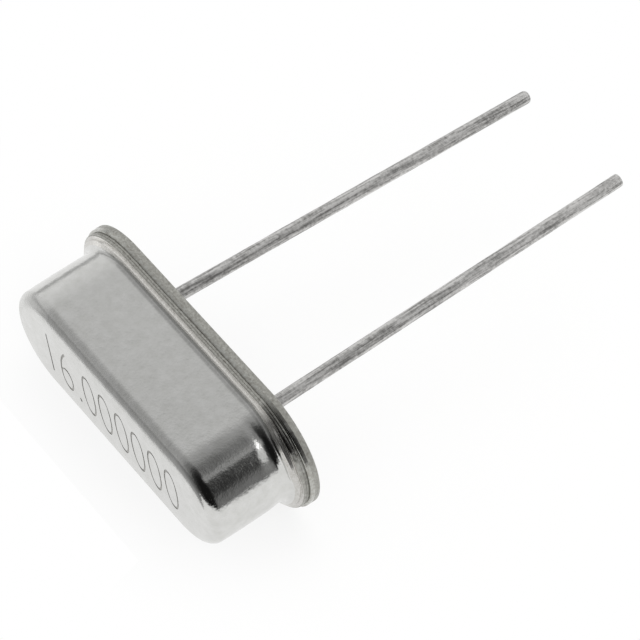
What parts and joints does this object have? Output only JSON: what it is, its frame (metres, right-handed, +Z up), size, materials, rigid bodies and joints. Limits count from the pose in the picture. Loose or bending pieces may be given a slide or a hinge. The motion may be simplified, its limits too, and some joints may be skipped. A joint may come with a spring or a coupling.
{
  "type": "crystal oscillator",
  "caption": "Low oblong metal can with rounded ends, welded to a flanged base with thin wire leads; it holds a quartz strip that sets a circuit's clock frequency.",
  "frame": {"origin": "centre of the bounding box on the surface that the unit lies on", "axes": "+Z up, +Y the way the leads point along the ground, X along the long side of the can; the unit lies on its broad side, tilted so that it rests on the flange and on the edge of the crown"},
  "size_m": [0.011, 0.0174, 0.0048],
  "materials": {
    "cover": "satin nickel plate on a drawn steel sheet",
    "base": "nickel plate on stamped steel",
    "seal_glass": "dark fused glass",
    "lead_wire": "dull tinned wire",
    "clip_metal": "plain nickel strip",
    "quartz": "lapped and etched quartz, slightly frosted",
    "silver_film": "bright evaporated silver",
    "silver_glue": "matt silver-filled epoxy"
  },
  "bodies": {
    "root": {"cover": "cover", "base": "base", "glass_seal_left": "seal_glass", "glass_seal_right": "seal_glass", "lead_left": "lead_wire", "lead_right": "lead_wire", "clip_left": "clip_metal", "clip_right": "clip_metal", "quartz_strip": "quartz", "silver_front": "silver_film", "silver_back": "silver_film", "glue_left": "silver_glue", "glue_right": "silver_glue"}
  },
  "joints": []
}
